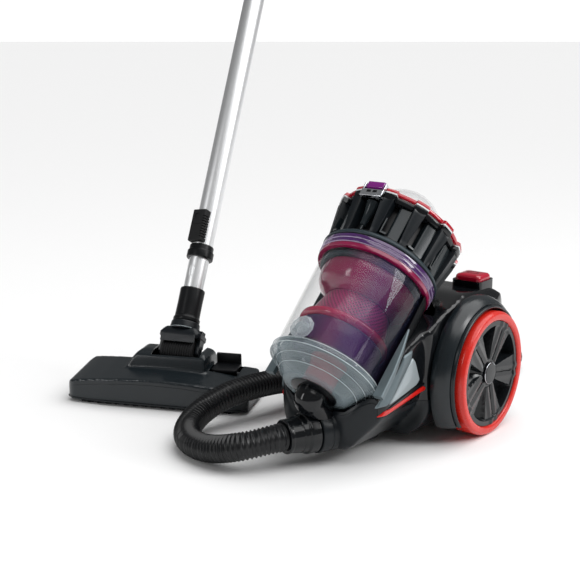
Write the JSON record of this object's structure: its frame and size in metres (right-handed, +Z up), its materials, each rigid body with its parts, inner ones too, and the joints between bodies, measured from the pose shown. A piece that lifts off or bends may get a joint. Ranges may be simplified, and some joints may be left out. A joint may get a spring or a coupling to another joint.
{
  "type": "canister vacuum cleaner",
  "caption": "Bagless canister vacuum cleaner with a leaning clear dust bin, cyclone crown, large side wheels, corrugated hose, telescopic wand and floor head.",
  "frame": {"origin": "on the floor, at the plan centre of everything but the hose and its cuff", "axes": "the canister faces -Y, its left side is +X, and +Z is up"},
  "size_m": [0.6306, 0.8767, 0.6948],
  "materials": {
    "body_gloss": "glossy",
    "body_satin": "satin",
    "fender": "satin gloss",
    "silver_trim": "satin",
    "red_trim": "glossy",
    "tyre_red": "satin",
    "hub": "satin gloss",
    "steel": "brushed",
    "rubber": "matte",
    "pedal_red": "glossy",
    "clear": "clear polycarbonate",
    "wine": "glossy, tinted",
    "skirt": "glossy",
    "purple": "glossy, tinted",
    "riser_red": "glossy",
    "crown": "glossy",
    "rim_red": "translucent gloss",
    "chrome": "mirror",
    "button_purple": "translucent gloss",
    "filter": "pleated felt",
    "hose": "satin, corrugated",
    "cuff": "glossy",
    "tube": "satin anodised",
    "bristle": "bristle",
    "motor_metal": "satin",
    "board": "matt"
  },
  "bodies": {
    "canister": {"chassis": "body_satin", "upper_housing": "body_gloss", "bin_cradle": "body_satin", "inlet_duct": "body_gloss", "left_side_trim": "silver_trim", "right_side_trim": "silver_trim", "left_red_stripe": "red_trim", "right_red_stripe": "red_trim", "left_fender": "fender", "right_fender": "fender", "left_axle": "steel", "right_axle": "steel", "motor": "motor_metal", "control_board": "board", "exhaust_filter": "filter", "hose": "hose", "hose_handle": "body_satin"},
    "left_wheel": {"left_tyre": "tyre_red", "left_wheel_hub": "hub"},
    "right_wheel": {"right_tyre": "tyre_red", "right_wheel_hub": "hub"},
    "caster": {"caster_fork": "body_satin"},
    "caster_roller": {"caster_wheel": "rubber"},
    "fan": {"fan_impeller": "motor_metal"},
    "reel": {"cord_reel": "body_satin"},
    "grille": {"exhaust_grille": "body_satin"},
    "power_button": {"power_pedal": "pedal_red"},
    "rewind_button": {"rewind_pedal": "pedal_red"},
    "cuff": {"hose_cuff": "cuff"},
    "latch": {"cuff_latch": "cuff"},
    "airflow_slider": {"suction_slider": "body_satin"},
    "bin": {"bin_body": "clear", "bin_door": "clear", "door_hinge_pin": "steel", "bin_seal_ring": "rubber", "cyclone_cone": "wine", "cyclone_shroud": "wine", "cyclone_skirt": "skirt", "dust_collector": "purple", "inlet_riser": "riser_red", "cyclone_crown": "crown", "crown_rim": "rim_red", "lid_button_frame": "chrome", "premotor_filter": "filter"},
    "bin_knob": {"door_latch_knob": "clear"},
    "lid_release": {"lid_button": "button_purple"},
    "dome": {"dome_lid": "clear"},
    "floor_head": {"head_shell": "fender", "head_sole": "steel", "neck_bellows": "rubber"},
    "head_rocker": {"head_pedal": "body_satin"},
    "brushes": {"brush_strip": "bristle"},
    "left_head_roller": {"left_roller": "rubber"},
    "right_head_roller": {"right_roller": "rubber"},
    "neck": {"neck_joint": "body_satin"},
    "wand": {"wand_cuff": "body_satin", "lower_tube": "tube"},
    "wand_top": {"upper_tube": "tube", "tube_collar": "body_satin"},
    "tube_release": {"release_slider": "body_satin"}
  },
  "joints": [
    {"name": "left_wheel_spin", "type": "hinge", "parent": "canister", "child": "left_wheel", "pos_m": [0.29877, -0.11612, 0.09], "axis": [1, 0, 0], "continuous": true},
    {"name": "right_wheel_spin", "type": "hinge", "parent": "canister", "child": "right_wheel", "pos_m": [0.05677, -0.11612, 0.09], "axis": [1, 0, 0], "continuous": true},
    {"name": "caster_swivel", "type": "hinge", "parent": "canister", "child": "caster", "pos_m": [0.17777, -0.26112, 0.03], "axis": [0, 0, 1], "continuous": true},
    {"name": "caster_roll", "type": "hinge", "parent": "caster", "child": "caster_roller", "pos_m": [0.17777, -0.25412, 0.013], "axis": [1, 0, 0], "continuous": true},
    {"name": "fan_spin", "type": "hinge", "parent": "canister", "child": "fan", "pos_m": [0.17777, -0.14112, 0.082], "axis": [0, 1, 0], "continuous": true},
    {"name": "reel_spin", "type": "hinge", "parent": "canister", "child": "reel", "pos_m": [0.17777, -0.01112, 0.086], "axis": [0, 1, 0], "continuous": true},
    {"name": "grille_pull", "type": "slide", "parent": "canister", "child": "grille", "axis": [0, 1, 0], "range_m": [0, 0.04]},
    {"name": "power_press", "type": "slide", "parent": "canister", "child": "power_button", "axis": [0, 0, -1], "range_m": [0, 0.004], "stiffness_N_per_m": 900, "springref_m": -0.001},
    {"name": "rewind_press", "type": "slide", "parent": "canister", "child": "rewind_button", "axis": [0, 0, -1], "range_m": [0, 0.004], "stiffness_N_per_m": 900, "springref_m": -0.001},
    {"name": "bin_lift", "type": "slide", "parent": "canister", "child": "bin", "axis": [0, -0.6743, 0.7385], "range_m": [0, 0.15]},
    {"name": "bin_knob_press", "type": "slide", "parent": "bin", "child": "bin_knob", "axis": [0, 0.6743, -0.7385], "range_m": [0, 0.0025], "stiffness_N_per_m": 900, "springref_m": -0.001},
    {"name": "lid_button_press", "type": "slide", "parent": "bin", "child": "lid_release", "axis": [0, -0.7385, -0.6743], "range_m": [0, 0.003], "stiffness_N_per_m": 900, "springref_m": -0.001},
    {"name": "dome_hinge", "type": "hinge", "parent": "bin", "child": "dome", "pos_m": [0.17777, -0.11001, 0.23993], "axis": [-1, 0, 0], "range_deg": [0, 70]},
    {"name": "cuff_swivel", "type": "hinge", "parent": "canister", "child": "cuff", "pos_m": [0.17577, -0.36212, 0.045], "axis": [-0.3746, -0.9272, 0], "continuous": true},
    {"name": "cuff_latch_press", "type": "slide", "parent": "cuff", "child": "latch", "axis": [-0.7595, 0.3069, -0.5736], "range_m": [0, 0.0015], "stiffness_N_per_m": 900, "springref_m": -0.001},
    {"name": "airflow_adjust", "type": "slide", "parent": "canister", "child": "airflow_slider", "axis": [0.995, -0.0998, 0], "range_m": [0, 0.015]},
    {"name": "floor_head_push", "type": "slide", "parent": "canister", "child": "floor_head", "axis": [-0.3907, 0.9205, 0], "range_m": [0, 0.1]},
    {"name": "rocker_tilt", "type": "hinge", "parent": "floor_head", "child": "head_rocker", "pos_m": [-0.08952, -0.22898, 0.042], "axis": [0.9205, 0.3907, 0], "range_deg": [0, 16]},
    {"name": "brush_lift", "type": "slide", "parent": "floor_head", "child": "brushes", "axis": [0, 0, 1], "range_m": [0, 0.005]},
    {"name": "left_roller_spin", "type": "hinge", "parent": "floor_head", "child": "left_head_roller", "pos_m": [-0.11814, -0.2281, 0.0082], "axis": [0.9205, 0.3907, 0], "continuous": true},
    {"name": "right_roller_spin", "type": "hinge", "parent": "floor_head", "child": "right_head_roller", "pos_m": [-0.24333, -0.28124, 0.0082], "axis": [0.9205, 0.3907, 0], "continuous": true},
    {"name": "neck_tilt", "type": "hinge", "parent": "floor_head", "child": "neck", "pos_m": [-0.15831, -0.26144, 0.073], "axis": [-0.9511, -0.309, 0], "range_deg": [-31.7, 33]},
    {"name": "wand_swivel", "type": "hinge", "parent": "neck", "child": "wand", "pos_m": [-0.16805, -0.23145, 0.12405], "axis": [-0.1624, 0.4998, 0.8508], "continuous": true},
    {"name": "wand_extend", "type": "slide", "parent": "wand", "child": "wand_top", "axis": [-0.1624, 0.4998, 0.8508], "range_m": [0, 0.33]},
    {"name": "tube_release_push", "type": "slide", "parent": "wand_top", "child": "tube_release", "axis": [-0.1624, 0.4998, 0.8508], "range_m": [0, 0.006], "stiffness_N_per_m": 500, "springref_m": -0.001}
  ],
  "couplings": [
    {"joint": "brush_lift", "follows": "rocker_tilt", "m_per_rad": 0.017895}
  ]
}
